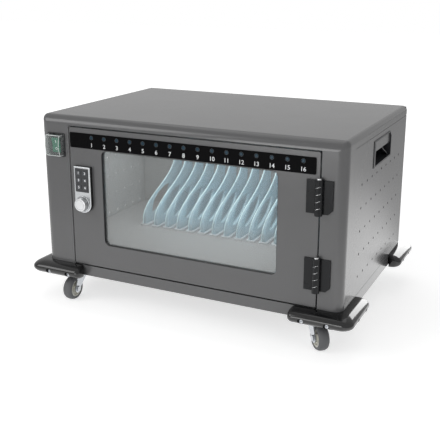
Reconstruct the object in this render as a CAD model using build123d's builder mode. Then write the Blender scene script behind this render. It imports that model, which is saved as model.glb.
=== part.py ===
# Laptop charging cart: a small steel cabinet on four swivel casters with a windowed, lockable door.
# Sixteen laptops stand on edge between blue fins, and a numbered lamp on the door belongs to each.
# All sizes are millimetres. X runs to the right, Y to the back and Z up from the floor.
from build123d import *
from math import cos, radians, sin
import os

# Cabinet
cabinet_width = 660.0
cabinet_depth = 435.0
cabinet_height = 340.0
ride_height = 62.0
sheet = 1.5
front_radius = 18.0
roof_radius = 10.0
skirt_height = 22.5
seam_gap = 0.8
seam_lap = 12.0
crease_drop = 20.0
crease_width = 1.6
crease_depth = 0.6
crease_setback = 48.0
rear_flange = 14.0

# Door and its opening
door_gap = 3.0
frame_left = 73.0
frame_right = 49.5
frame_top = 21.5
door_thickness = 20.0
frame_return = 22.0
window_side_left = 76.0
window_side_right = 78.5
window_bottom_margin = 49.5
window_top_margin = 42.5
window_radius = 12.0
window_return = 6.0
pane_thickness = 3.0
pane_lap = 10.0
window_frame_width = 15.0
window_frame_thickness = 3.0

# Lamp strip, and the laptop bays that its lamps stand for
slot_pitch = 30.1
strip_height = 31.0
strip_side_left = 2.0
strip_side_right = 7.0
strip_top_margin = 10.0
strip_thickness = 1.5
strip_radius = 2.5
first_lamp = 55.0
lamp_drop = 8.0
lens_radius = 3.6
lens_rise = 0.9
board_height = 16.0
board_thickness = 1.6

# Keypad lock
lock_width = 39.5
lock_height = 98.0
lock_depth = 9.0
lock_from_edge = 32.3
lock_top_margin = 78.5
lock_edge_round = 1.6
keypad_width = 33.0
keypad_height = 50.0
keypad_thickness = 1.2
keypad_top_margin = 3.5
key_columns = 2
key_rows = 3
key_pitch_x = 15.5
key_pitch_z = 15.0
key_width = 11.0
key_height = 9.0
key_rise = 0.9
key_depth = 3.0
key_travel = 1.4
key_clearance = 0.3
knob_radius = 13.5
knob_length = 11.5
knob_round = 1.5
spindle_radius = 4.0
running_gap = 0.05
knob_gap = 0.4
cam_length = 44.0
cam_width = 14.0
cam_thickness = 2.5
cam_clearance = 2.0

# Hinges
hinge_heights = {"upper": 238.0, "lower": 91.0}
leaf_width = 25.0
leaf_height = 62.0
leaf_thickness = 3.0
leaf_chamfer = 8.0
knuckle_radius = 7.2
knuckle_count = 5
knuckle_gap = 0.4
knuckle_overhang = 2.0
hinge_pin_radius = 3.0
pin_head_radius = 4.6
pin_head_height = 2.6

# Power switch
switch_from_side = 40.0
switch_height = 279.0
bezel_width = 42.0
bezel_height = 50.0
bezel_thickness = 2.0
cover_width = 35.0
cover_height = 44.0
cover_depth = 11.0
cover_bulge = 4.5
cover_wall = 1.2
cover_round = 3.0
rocker_width = 20.0
rocker_height = 32.0
rocker_depth = 9.0
rocker_rise = 3.5
rocker_tilt = 7.0
rocker_edge_round = 1.0
rocker_clearance = 0.6
rocker_pin_radius = 1.5
switch_body_depth = 18.0
switch_body_wall = 2.0

# Side walls: vent holes and carry handles
vent_columns = 9
vent_rows = 5
vent_pitch_y = 35.0
vent_pitch_z = 45.5
vent_radius = 2.4
first_vent_y = 97.0
first_vent_z = 60.7
handle_front = 170.0
handle_rear = 301.0
handle_bottom = 257.0
handle_top = 310.0
handle_corner = 11.0
handle_rim_front = 10.0
handle_rim = 3.0
handle_rim_proud = 1.2
handle_lap = 0.8
handle_depth = 36.0
handle_wall = 2.0
handle_clearance = 0.2
grip_height = 21.0
grip_thickness = 2.5
grip_recess = 2.0
grip_hem = 7.0
strut_thickness = 4.0
strut_depth = 8.0
strut_recess = 4.0

# Corner bumpers
bumper_reach = 29.0
bumper_bottom = -6.0
bumper_top = 23.0
bumper_arm = 126.0
bumper_corner = 22.0
bumper_upper_round = 10.0
bumper_lower_round = 13.0
bumper_clearance = 0.5
screw_places = (48.0, 97.0)
screw_level = 4.5
screw_head_radius = 4.5
screw_head_height = 2.6
screw_radius = 2.2
counterbore_radius = 6.0
counterbore_floor = 12.0

# Inside
deck_height = 52.0
deck_setback = 30.0
partition_from_back = 37.0
side_clearance = 1.0
cable_gap = 48.0
divider_offset = 113.5
divider_margin = 60.0
divider_foot_thickness = 10.0
divider_top_thickness = 4.0
divider_taper_height = 75.0
divider_length = 180.0
divider_top_length = 26.3
divider_tall = 145.0
divider_rear_gap = 2.0
foot_pad_width = 21.0
foot_pad_height = 3.0
foot_pad_front = 6.0
foot_pad_rear_gap = 4.0
charger_from_side = 130.0
charger_inlet_gap = 10.0
charger_height = 90.0
charger_depth = 24.0
charger_bottom = 70.0
charger_round = 3.0
charger_port_width = 13.0
charger_port_height = 6.0
charger_port_depth = 6.0

# Back
panel_inset = 3.0
louvre_length = 60.0
louvre_height = 5.0
louvre_pitch = 14.0
louvre_count = 7
louvre_level = 235.0
louvre_from_middle = 190.0
inlet_from_side = 95.0
inlet_height = 75.0
inlet_flange_width = 50.0
inlet_flange_height = 24.0
inlet_flange_thickness = 2.0
inlet_body_width = 28.0
inlet_body_height = 20.0
inlet_body_depth = 22.0
inlet_socket_width = 24.0
inlet_socket_height = 16.0
inlet_socket_depth = 15.0
inlet_pin_width = 2.0
inlet_pin_height = 4.0
inlet_pin_pitch = 7.0

# Casters
caster_inset_x = 58.0
caster_inset_y = 28.0
caster_plate_size = 52.0
caster_plate_thickness = 2.5
caster_plate_round = 5.0
bearing_radius = 19.0
bearing_height = 4.0
kingpin_radius = 4.0
kingpin_head_radius = 7.0
kingpin_head_height = 1.5
swivel_gap = 0.3
fork_thickness = 2.2
fork_top_radius = 18.5
fork_toe_radius = 9.0
wheel_radius = 25.0
wheel_width = 21.0
tyre_thickness = 7.0
tread_crown = 2.2
hub_width = 18.0
hub_web = 8.0
hub_rim = 3.0
hub_boss_radius = 8.0
axle_radius = 4.0
axle_head_radius = 6.0
axle_head_height = 3.0
wheel_gap = 1.0
caster_trail = 24.0
caster_headings = {"front_left": -90.0, "front_right": -47.0, "rear_left": -75.0, "rear_right": -110.0}

# Faces and levels that the sizes above give
left = -cabinet_width / 2
right = cabinet_width / 2
front = -cabinet_depth / 2
back = cabinet_depth / 2
floor = ride_height
roof = floor + cabinet_height
skirt_top = floor + skirt_height
shell_bottom = skirt_top + seam_gap
tray_floor = floor + sheet
shell_back = back - sheet

door_left = left + frame_left
door_right = right - frame_right
door_bottom = skirt_top + door_gap
door_top = roof - frame_top
opening_left = door_left - door_gap
opening_right = door_right + door_gap
opening_top = door_top + door_gap
door_back = front + door_thickness

window_left = door_left + window_side_left
window_right = door_right - window_side_right
window_bottom = door_bottom + window_bottom_margin
window_top = door_top - window_top_margin
window_x = (window_left + window_right) / 2
window_z = (window_bottom + window_top) / 2
window_width = window_right - window_left
window_height = window_top - window_bottom
pane_front = front + window_return
pane_back = pane_front + pane_thickness

strip_left = door_left + strip_side_left
strip_right = door_right - strip_side_right
strip_top = door_top - strip_top_margin
strip_bottom = strip_top - strip_height
lamp_z = strip_top - lamp_drop

lock_x = door_left + lock_from_edge
lock_top = door_top - lock_top_margin
lock_bottom = lock_top - lock_height
lock_front = front - lock_depth
knob_z = lock_bottom + lock_width / 2
keypad_z = lock_top - keypad_top_margin - keypad_height / 2
cam_front = front + frame_return + cam_clearance

hinge_x = door_right + door_gap / 2
hinge_y = front - knuckle_radius

switch_x = left + switch_from_side
switch_z = floor + switch_height
bezel_front = front - bezel_thickness

deck_top = floor + deck_height
deck_front = front + deck_setback
partition_front = back - partition_from_back
partition_back = partition_front + sheet

slot_count = int((cabinet_width - divider_offset - divider_margin) / slot_pitch)
lamp_x = [door_left + first_lamp + slot_pitch * n for n in range(slot_count)]

nodes = {}


def keep(name, part):
    """Name a finished piece and file it under its node's name."""
    part.label = name
    nodes[name] = part


def block(x, y, z, mode=Mode.ADD):
    """A box between two X, two Y and two Z faces."""
    centre = ((x[0] + x[1]) / 2, (y[0] + y[1]) / 2, (z[0] + z[1]) / 2)
    with Locations(centre):
        Box(abs(x[1] - x[0]), abs(y[1] - y[0]), abs(z[1] - z[0]), mode=mode)


def rod_along_y(x, y, z, radius, mode=Mode.ADD):
    """A round rod or hole along Y between two Y faces."""
    with Locations(Location((x, (y[0] + y[1]) / 2, z), (90, 0, 0))):
        Cylinder(radius, abs(y[1] - y[0]), mode=mode)


def rod_along_x(x, y, z, radius, mode=Mode.ADD):
    """A round rod or hole along X between two X faces."""
    with Locations(Location(((x[0] + x[1]) / 2, y, z), (0, 90, 0))):
        Cylinder(radius, abs(x[1] - x[0]), mode=mode)


def facing_front(y):
    """The upright plane at one Y, with X to the right, Z up and its normal to the front."""
    return Plane(origin=(0, y, 0), x_dir=(1, 0, 0), z_dir=(0, -1, 0))


# Outer shell: roof, sides and front frame, folded, welded and ground into one rounded piece.
handle_outline = [
    (front + handle_front, floor + handle_bottom),
    (front + handle_rear, floor + handle_bottom),
    (front + handle_rear, floor + handle_top - handle_corner),
    (front + handle_rear - handle_corner, floor + handle_top),
    (front + handle_front, floor + handle_top),
]
vent_centre_y = front + first_vent_y + vent_pitch_y * (vent_columns - 1) / 2
vent_centre_z = floor + first_vent_z + vent_pitch_z * (vent_rows - 1) / 2

with BuildPart() as outer_shell:
    block((left, right), (front, shell_back), (shell_bottom, roof))
    front_edges = outer_shell.edges().filter_by(Axis.Z).group_by(Axis.Y)[0]
    top_front = outer_shell.edges().filter_by(Axis.X).group_by(Axis.Z)[-1].group_by(Axis.Y)[0]
    fillet(front_edges + top_front, front_radius)
    side_edges = outer_shell.edges().filter_by(Axis.Y).group_by(Axis.Z)[-1]
    fillet(side_edges, roof_radius)
    open_faces = [outer_shell.faces().sort_by(Axis.Z)[0], outer_shell.faces().sort_by(Axis.Y)[-1]]
    offset(amount=-sheet, openings=open_faces)
    # Returns behind the door opening, which the lock's cam hooks behind.
    return_depth = (front + sheet / 2, front + frame_return)
    block((opening_left - sheet, opening_left), return_depth, (shell_bottom, opening_top + sheet))
    block((opening_right, opening_right + sheet), return_depth, (shell_bottom, opening_top + sheet))
    block((opening_left, opening_right), return_depth, (opening_top, opening_top + sheet))
    block((opening_left, opening_right), (front, front + sheet), (shell_bottom, opening_top),
          Mode.SUBTRACT)
    # Flange at the back that the rear panel is screwed to.
    with BuildSketch(facing_front(shell_back)):
        with Locations((0, (shell_bottom + roof) / 2)):
            Rectangle(cabinet_width - 2 * sheet, roof - shell_bottom - 2 * sheet)
            Rectangle(cabinet_width - 2 * rear_flange, roof - shell_bottom - 2 * rear_flange,
                      mode=Mode.SUBTRACT)
    extrude(amount=sheet)
    # Pressed line where the roof's turned-down edge meets each side.
    crease_z = roof - crease_drop
    for side in (left, right):
        block((side - crease_depth, side + crease_depth), (front + crease_setback, shell_back),
              (crease_z - crease_width / 2, crease_z + crease_width / 2), Mode.SUBTRACT)
    # Vent holes and handle cut-outs go through both sides at once.
    with BuildSketch(Plane.YZ):
        with Locations((vent_centre_y, vent_centre_z)):
            with GridLocations(vent_pitch_y, vent_pitch_z, vent_columns, vent_rows):
                Circle(vent_radius)
    extrude(amount=cabinet_width, both=True, mode=Mode.SUBTRACT)
    with BuildSketch(Plane.YZ):
        with BuildLine():
            Polyline(*handle_outline, close=True)
        make_face()
        offset(amount=-handle_lap)
    extrude(amount=cabinet_width, both=True, mode=Mode.SUBTRACT)
    # Cut-out for the power switch.
    block((switch_x - rocker_width / 2 - switch_body_wall - rocker_clearance,
           switch_x + rocker_width / 2 + switch_body_wall + rocker_clearance),
          (front - sheet, front + 2 * sheet),
          (switch_z - rocker_height / 2 - switch_body_wall - rocker_clearance,
           switch_z + rocker_height / 2 + switch_body_wall + rocker_clearance), Mode.SUBTRACT)
keep("outer_shell", outer_shell.part)

# Base tray: folded floor pan. Its skirt is the band under the door and the sides.
with BuildPart() as base_tray:
    block((left, right), (front, back), (floor, skirt_top))
    fillet(base_tray.edges().filter_by(Axis.Z).group_by(Axis.Y)[0], front_radius)
    offset(amount=-sheet, openings=[base_tray.faces().sort_by(Axis.Z)[-1]])
    # Laps that the shell's side walls are welded to.
    for side, inward in ((left, 1), (right, -1)):
        lap = (side + inward * sheet, side + inward * 2 * sheet)
        block(lap, (front + front_radius + sheet, shell_back - 2 * sheet),
              (tray_floor, skirt_top + seam_lap))
keep("base_tray", base_tray.part)

# Rear panel: screwed back cover with louvres and the inlet's cut-out.
inlet_x = right - inlet_from_side
inlet_z = floor + inlet_height
with BuildPart() as rear_panel:
    with BuildSketch(facing_front(back)):
        with Locations((0, (shell_bottom + roof) / 2)):
            RectangleRounded(cabinet_width - 2 * panel_inset,
                             roof - shell_bottom - 2 * panel_inset, roof_radius)
        for group in (-louvre_from_middle, louvre_from_middle):
            with Locations((group, floor + louvre_level)):
                with GridLocations(0, louvre_pitch, 1, louvre_count):
                    SlotOverall(louvre_length, louvre_height, mode=Mode.SUBTRACT)
        with Locations((inlet_x, inlet_z)):
            Rectangle(inlet_body_width, inlet_body_height, mode=Mode.SUBTRACT)
    extrude(amount=sheet)
keep("rear_panel", rear_panel.part)

# Inner deck: raised floor that the laptops stand on, open below, on a front and a rear apron.
deck_sides = (left + 2 * sheet + side_clearance, right - 2 * sheet - side_clearance)
with BuildPart() as inner_deck:
    block(deck_sides, (deck_front, partition_front), (deck_top - sheet, deck_top))
    block(deck_sides, (deck_front, deck_front + sheet), (tray_floor, deck_top))
    block(deck_sides, (partition_front - sheet, partition_front), (tray_floor, deck_top))
keep("inner_deck", inner_deck.part)

# Rear partition: inner back wall. The charging leads pass over it, through the gap under the roof.
with BuildPart() as rear_partition:
    block(deck_sides, (partition_front, partition_back), (tray_floor, roof - sheet - cable_gap))
    block(deck_sides, (partition_back, partition_back + rear_flange), (tray_floor, tray_floor + sheet))
    top_corners = rear_partition.edges().filter_by(Axis.Y).group_by(Axis.Z)[-1]
    fillet(top_corners, roof_radius)
keep("rear_partition", rear_partition.part)

# Dividers: moulded blue fins, thick at the foot and thin above, with a front edge that sweeps back.
fin_bottom = deck_top + foot_pad_height
fin_rear_y = partition_front - divider_rear_gap
fin_foot_y = fin_rear_y - divider_length
fin_top = fin_bottom + divider_tall
sweep_run = divider_length - divider_top_length
divider_x = [left + divider_offset + slot_pitch * n for n in range(slot_count + 1)]

with BuildPart() as fin:
    with BuildSketch(Plane.YZ):
        with BuildLine():
            sweep_line = Spline(
                (fin_foot_y, fin_bottom),
                (fin_foot_y + 0.36 * sweep_run, fin_bottom + 0.45 * divider_tall),
                (fin_foot_y + 0.745 * sweep_run, fin_bottom + 0.65 * divider_tall),
                (fin_foot_y + sweep_run, fin_top),
                tangents=((-0.3, 1), (0.1, 1)),
            )
            Polyline(sweep_line @ 1, (fin_rear_y, fin_top), (fin_rear_y, fin_bottom), sweep_line @ 0)
        make_face()
    extrude(amount=divider_foot_thickness / 2, both=True)
    with BuildSketch(facing_front(front)):
        with BuildLine():
            foot_half = divider_foot_thickness / 2
            top_half = divider_top_thickness / 2
            taper_top = fin_bottom + divider_taper_height
            Polyline((-foot_half, fin_bottom), (-top_half, taper_top), (-top_half, fin_top),
                     (top_half, fin_top), (top_half, taper_top), (foot_half, fin_bottom), close=True)
        make_face()
    extrude(amount=-cabinet_depth, mode=Mode.INTERSECT)

with BuildPart() as laptop_dividers:
    with Locations(*[(x, 0, 0) for x in divider_x]):
        add(fin.part)
keep("laptop_dividers", laptop_dividers.part)

# Foot pads: one pale strip under each fin, screwed down to the deck.
with BuildPart() as divider_feet:
    pad_front = fin_foot_y - foot_pad_front
    pad_rear = partition_front - foot_pad_rear_gap
    with BuildSketch(Plane.XY.offset(deck_top)):
        with Locations(*[(x, (pad_front + pad_rear) / 2) for x in divider_x]):
            RectangleRounded(foot_pad_width, pad_rear - pad_front, foot_pad_width / 4)
    extrude(amount=foot_pad_height)
keep("divider_feet", divider_feet.part)

# Charger: one long box on the back of the partition, with an output port for every bay.
charger_z = (floor + charger_bottom, floor + charger_bottom + charger_height)
charger_back = partition_back + charger_depth
charger_left = left + charger_from_side
charger_right = inlet_x - inlet_flange_width / 2 - charger_inlet_gap
with BuildPart() as power_supply:
    block((charger_left, charger_right), (partition_back, charger_back), charger_z)
    fillet(power_supply.edges().filter_by(Axis.X).group_by(Axis.Y)[-1], charger_round)
    with BuildSketch(Plane.XY.offset(charger_z[1])):
        with Locations(((charger_left + charger_right) / 2, (partition_back + charger_back) / 2)):
            with GridLocations((charger_right - charger_left) / slot_count, 0, slot_count, 1):
                Rectangle(charger_port_width, charger_port_height)
    extrude(amount=-charger_port_depth, mode=Mode.SUBTRACT)
keep("power_supply", power_supply.part)

# Mains inlet: moulded appliance inlet, its flange outside the rear panel, and its three blades.
inlet_floor = back + inlet_flange_thickness - inlet_socket_depth
with BuildPart() as mains_inlet:
    block((inlet_x - inlet_body_width / 2, inlet_x + inlet_body_width / 2),
          (back - inlet_body_depth, back),
          (inlet_z - inlet_body_height / 2, inlet_z + inlet_body_height / 2))
    with BuildSketch(facing_front(back)):
        with Locations((inlet_x, inlet_z)):
            RectangleRounded(inlet_flange_width, inlet_flange_height, panel_inset)
    extrude(amount=-inlet_flange_thickness)
    block((inlet_x - inlet_socket_width / 2, inlet_x + inlet_socket_width / 2),
          (inlet_floor, back + inlet_flange_thickness),
          (inlet_z - inlet_socket_height / 2, inlet_z + inlet_socket_height / 2), Mode.SUBTRACT)
keep("mains_inlet", mains_inlet.part)

with BuildPart() as inlet_blades:
    for n in (-1, 0, 1):
        blade_x = inlet_x + n * inlet_pin_pitch
        block((blade_x - inlet_pin_width / 2, blade_x + inlet_pin_width / 2),
              (inlet_floor, back - inlet_pin_width),
              (inlet_z - inlet_pin_height, inlet_z))
keep("inlet_blades", inlet_blades.part)

# Switch housing: black bezel on the front frame, and the body behind it that the rocker sits in.
pocket_half_x = rocker_width / 2 + rocker_clearance
pocket_half_z = rocker_height / 2 + rocker_clearance
body_half_x = pocket_half_x + switch_body_wall
body_half_z = pocket_half_z + switch_body_wall
rocker_y = front + rocker_depth / 2
with BuildPart() as switch_housing:
    with BuildSketch(facing_front(front)):
        with Locations((switch_x, switch_z)):
            RectangleRounded(bezel_width, bezel_height, cover_round)
    extrude(amount=bezel_thickness)
    block((switch_x - body_half_x, switch_x + body_half_x), (front, front + switch_body_depth),
          (switch_z - body_half_z, switch_z + body_half_z))
    block((switch_x - pocket_half_x, switch_x + pocket_half_x),
          (bezel_front, front + switch_body_depth - switch_body_wall),
          (switch_z - pocket_half_z, switch_z + pocket_half_z), Mode.SUBTRACT)
    rod_along_x((switch_x - body_half_x, switch_x + body_half_x), rocker_y, switch_z,
                rocker_pin_radius + running_gap, Mode.SUBTRACT)
keep("switch_housing", switch_housing.part)

# Rocker: green key that tips about two level pins. It stands tipped to its on side.
tip = radians(rocker_tilt)
rocker_plane = Plane(origin=(switch_x, rocker_y, switch_z), x_dir=(0, cos(tip), sin(tip)),
                     z_dir=(1, 0, 0))
with BuildPart() as switch_rocker:
    with BuildSketch(rocker_plane):
        with BuildLine():
            face_y = -(rocker_depth / 2 + rocker_rise)
            rocker_half = rocker_height / 2 - rocker_edge_round
            Polyline((face_y, rocker_half), (face_y + rocker_rise / 2, 0), (face_y, -rocker_half),
                     (0, -rocker_half), (rocker_depth / 2, -rocker_half / 2),
                     (rocker_depth / 2, rocker_half / 2), (0, rocker_half), close=True)
        make_face()
    extrude(amount=rocker_width / 2, both=True)
    fillet(switch_rocker.edges().filter_by(Axis.X).group_by(Axis.Y)[0], rocker_edge_round)
    rod_along_x((switch_x - body_half_x, switch_x + body_half_x), rocker_y, switch_z,
                rocker_pin_radius)
keep("switch_rocker", switch_rocker.part)

# Switch cover: clear splash cover with a bulged front, snapped onto the bezel.
with BuildPart() as switch_cover:
    with BuildSketch(Plane.YZ.offset(switch_x)):
        with BuildLine():
            cover_y = bezel_front - cover_depth
            half = cover_height / 2
            Polyline((cover_y, switch_z + half), (bezel_front, switch_z + half),
                     (bezel_front, switch_z - half), (cover_y, switch_z - half))
            ThreePointArc((cover_y, switch_z - half), (cover_y - cover_bulge, switch_z),
                          (cover_y, switch_z + half))
        make_face()
    extrude(amount=cover_width / 2, both=True)
    fillet(switch_cover.edges().filter_by(Axis.Y), cover_round)
    offset(amount=-cover_wall, openings=[switch_cover.faces().sort_by(Axis.Y)[-1]])
keep("switch_cover", switch_cover.part)

# Carry handles: a black moulded cup in each side, with a steel grip plate across its upper half.
cup_hole = [
    (front + handle_front + handle_rim_front, floor + handle_bottom + handle_rim),
    (front + handle_rear - handle_rim, floor + handle_bottom + handle_rim),
    (front + handle_rear - handle_rim, floor + handle_top - handle_corner),
    (front + handle_rear - handle_corner, floor + handle_top - handle_rim),
    (front + handle_front + handle_rim_front, floor + handle_top - handle_rim),
]
strut_middle_y = (cup_hole[0][0] + cup_hole[1][0]) / 2
grip_bottom = floor + handle_top - handle_rim - grip_height
for name, side, inward in (("left", left, 1), ("right", right, -1)):
    with BuildPart() as handle_cup:
        with BuildSketch(Plane.YZ.offset(side)):
            with BuildLine():
                Polyline(*handle_outline, close=True)
            make_face()
        extrude(amount=-inward * handle_rim_proud)
        with BuildSketch(Plane.YZ.offset(side)):
            with BuildLine():
                Polyline(*handle_outline, close=True)
            make_face()
            offset(amount=-handle_lap - handle_clearance)
        extrude(amount=inward * handle_depth)
        with BuildSketch(Plane.YZ.offset(side - inward * handle_rim_proud)):
            with BuildLine():
                Polyline(*cup_hole, close=True)
            make_face()
        extrude(amount=inward * (handle_rim_proud + handle_depth - handle_wall), mode=Mode.SUBTRACT)
        # Slanting strut across the finger space.
        with BuildSketch(Plane.YZ.offset(side + inward * strut_recess)):
            with BuildLine():
                Polyline((strut_middle_y, grip_bottom), (strut_middle_y + strut_thickness, grip_bottom),
                         cup_hole[1], (cup_hole[1][0] - strut_thickness, cup_hole[1][1]), close=True)
            make_face()
        extrude(amount=inward * strut_depth)
    keep("handle_cup_" + name, handle_cup.part)

    with BuildPart() as handle_grip:
        with BuildSketch(Plane.YZ.offset(side + inward * grip_recess)):
            with BuildLine():
                Polyline((cup_hole[4][0], grip_bottom), (cup_hole[2][0], grip_bottom), cup_hole[2],
                         cup_hole[3], cup_hole[4], close=True)
            make_face()
        extrude(amount=inward * grip_thickness)
        block((side + inward * grip_recess, side + inward * (grip_recess + grip_hem)),
              (cup_hole[0][0], cup_hole[1][0]), (grip_bottom, grip_bottom + grip_thickness))
    keep("handle_grip_" + name, handle_grip.part)

# Corner bumpers: moulded guards with a rounded nose, screwed round each lower corner.
corner_signs = {"front_left": (-1, -1), "front_right": (1, -1), "rear_left": (-1, 1), "rear_right": (1, 1)}
bumper_z = (floor + bumper_bottom, floor + bumper_top)
nose_x = right + bumper_reach
nose_y = back + bumper_reach
screw_z = floor + screw_level


def is_nose_edge(edge):
    """Whether an edge lies on the outer outline of a bumper, not on the wall or on an arm's end."""
    middle = edge.center()
    outward = max(abs(middle.X) - right, abs(middle.Y) - back)
    return outward > bumper_reach - bumper_corner / 2 and edge.length > bumper_reach


for corner, (sx, sy) in corner_signs.items():
    with BuildPart() as corner_bumper:
        block((sx * (nose_x - bumper_arm), sx * nose_x), (sy * back, sy * nose_y), bumper_z)
        block((sx * right, sx * nose_x), (sy * (nose_y - bumper_arm), sy * nose_y), bumper_z)
        upright = corner_bumper.edges().filter_by(Axis.Z)
        fillet(upright.sort_by(lambda e: abs(e.center().X) + abs(e.center().Y))[-1], bumper_corner)
        if sy < 0:
            inner = corner_bumper.edges().filter_by(Axis.Z).sort_by_distance((sx * right, sy * back, screw_z))
            fillet(inner[0], front_radius - bumper_clearance)
        for level, radius in ((-1, bumper_upper_round), (0, bumper_lower_round)):
            rim = corner_bumper.edges().group_by(Axis.Z)[level].filter_by(is_nose_edge)
            fillet(rim, radius)
        for place in screw_places:
            rod_along_y(sx * (nose_x - place), (sy * back, sy * nose_y), screw_z,
                        screw_radius + running_gap, Mode.SUBTRACT)
            rod_along_y(sx * (nose_x - place), (sy * (back + counterbore_floor), sy * nose_y), screw_z,
                        counterbore_radius, Mode.SUBTRACT)
            rod_along_x((sx * right, sx * nose_x), sy * (nose_y - place), screw_z,
                        screw_radius + running_gap, Mode.SUBTRACT)
            rod_along_x((sx * (right + counterbore_floor), sx * nose_x), sy * (nose_y - place), screw_z,
                        counterbore_radius, Mode.SUBTRACT)
    keep("bumper_" + corner, corner_bumper.part)

# Bumper screws: sixteen alike, seated on the floors of the counterbores.
head_top = counterbore_floor + screw_head_height
with BuildPart() as bumper_screws:
    for sx, sy in corner_signs.values():
        for place in screw_places:
            screw_x = sx * (nose_x - place)
            screw_y = sy * (nose_y - place)
            rod_along_y(screw_x, (sy * back, sy * (back + counterbore_floor)), screw_z, screw_radius)
            rod_along_y(screw_x, (sy * (back + counterbore_floor), sy * (back + head_top)), screw_z,
                        screw_head_radius)
            rod_along_x((sx * right, sx * (right + counterbore_floor)), screw_y, screw_z, screw_radius)
            rod_along_x((sx * (right + counterbore_floor), sx * (right + head_top)), screw_y, screw_z,
                        screw_head_radius)
keep("bumper_screws", bumper_screws.part)

# Door panel: folded pan, open behind, with the window's return and a hole for the lock's spindle.
with BuildPart() as door_panel:
    block((door_left, door_right), (front, door_back), (door_bottom, door_top))
    fillet(door_panel.edges().filter_by(Axis.Y), strip_radius)
    offset(amount=-sheet, openings=[door_panel.faces().sort_by(Axis.Y)[-1]])
    with BuildSketch(facing_front(front)):
        with Locations((window_x, window_z)):
            RectangleRounded(window_width + 2 * sheet, window_height + 2 * sheet, window_radius + sheet)
    extrude(amount=-window_return)
    with BuildSketch(facing_front(front)):
        with Locations((window_x, window_z)):
            RectangleRounded(window_width, window_height, window_radius)
    extrude(amount=-door_thickness, mode=Mode.SUBTRACT)
    rod_along_y(lock_x, (front - sheet, door_back), knob_z, spindle_radius + knob_gap, Mode.SUBTRACT)
keep("door_panel", door_panel.part)

# Window pane: grey-tinted clear sheet behind the return, clamped by a frame.
with BuildPart() as window_pane:
    with BuildSketch(facing_front(pane_front)):
        with Locations((window_x, window_z)):
            RectangleRounded(window_width + 2 * pane_lap, window_height + 2 * pane_lap, window_radius)
    extrude(amount=-pane_thickness)
keep("window_pane", window_pane.part)

with BuildPart() as window_frame:
    with BuildSketch(facing_front(pane_back)):
        with Locations((window_x, window_z)):
            RectangleRounded(window_width + 2 * window_frame_width, window_height + 2 * window_frame_width,
                             window_radius)
            RectangleRounded(window_width, window_height, window_radius, mode=Mode.SUBTRACT)
    extrude(amount=-window_frame_thickness)
keep("window_frame", window_frame.part)

# Lamp strip: black printed strip on the door, with a hole for each lamp's lens.
strip_x = (strip_left + strip_right) / 2
strip_z = (strip_bottom + strip_top) / 2
with BuildPart() as led_strip:
    with BuildSketch(facing_front(front)):
        with Locations((strip_x, strip_z)):
            RectangleRounded(strip_right - strip_left, strip_height, strip_radius)
        with Locations(*[(x, lamp_z) for x in lamp_x]):
            Circle(lens_radius + running_gap, mode=Mode.SUBTRACT)
    extrude(amount=strip_thickness)
keep("led_strip", led_strip.part)

# Lamp lenses: sixteen domed lenses set in the strip's holes, flat on the door behind.
with BuildPart() as led_lenses:
    with BuildSketch(facing_front(front)):
        with Locations(*[(x, lamp_z) for x in lamp_x]):
            Circle(lens_radius)
    extrude(amount=strip_thickness + lens_rise)
    chamfer(led_lenses.edges().group_by(Axis.Y)[0], lens_rise)
keep("led_lenses", led_lenses.part)

# Lamp board: circuit board on the inside of the door, behind the strip.
with BuildPart() as led_board:
    block((lamp_x[0] - slot_pitch / 2, lamp_x[-1] + slot_pitch / 2),
          (front + sheet, front + sheet + board_thickness),
          (lamp_z - board_height / 2, lamp_z + board_height / 2))
keep("led_board", led_board.part)

# Keypad lock: cast body with a half-round lower end, and pockets for the keypad, keys and spindle.
key_places = [(lock_x + key_pitch_x * (column - (key_columns - 1) / 2),
               keypad_z - key_pitch_z * (row - (key_rows - 1) / 2))
              for row in range(key_rows) for column in range(key_columns)]
keypad_back = lock_front + keypad_thickness
key_floor = keypad_back + key_depth + key_travel
with BuildPart() as lock_body:
    with BuildSketch(facing_front(front)):
        with Locations((lock_x, (lock_top + knob_z) / 2)):
            Rectangle(lock_width, lock_top - knob_z)
        with Locations((lock_x, knob_z)):
            Circle(lock_width / 2)
    extrude(amount=lock_depth)
    fillet(lock_body.faces().sort_by(Axis.Y)[0].edges(), lock_edge_round)
    with BuildSketch(facing_front(lock_front)):
        with Locations((lock_x, keypad_z)):
            RectangleRounded(keypad_width, keypad_height, lock_edge_round)
    extrude(amount=-keypad_thickness, mode=Mode.SUBTRACT)
    with BuildSketch(facing_front(keypad_back)):
        with Locations(*key_places):
            Rectangle(key_width + 2 * key_clearance, key_height + 2 * key_clearance)
    extrude(amount=keypad_back - key_floor, mode=Mode.SUBTRACT)
    rod_along_y(lock_x, (front, lock_front), knob_z, spindle_radius + running_gap, Mode.SUBTRACT)
keep("lock_body", lock_body.part)

with BuildPart() as keypad_plate:
    with BuildSketch(facing_front(lock_front)):
        with Locations((lock_x, keypad_z)):
            RectangleRounded(keypad_width, keypad_height, lock_edge_round)
        with Locations(*key_places):
            Rectangle(key_width + 2 * key_clearance, key_height + 2 * key_clearance, mode=Mode.SUBTRACT)
    extrude(amount=-keypad_thickness)
keep("keypad_plate", keypad_plate.part)

# Six keys, each sliding into its own pocket.
for number, (key_x, key_z) in enumerate(key_places, start=1):
    with BuildPart() as lock_key:
        block((key_x - key_width / 2, key_x + key_width / 2), (lock_front - key_rise, key_floor - key_travel),
              (key_z - key_height / 2, key_z + key_height / 2))
        fillet(lock_key.faces().sort_by(Axis.Y)[0].edges(), key_rise / 2)
    keep(f"lock_key_{number}", lock_key.part)

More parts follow.
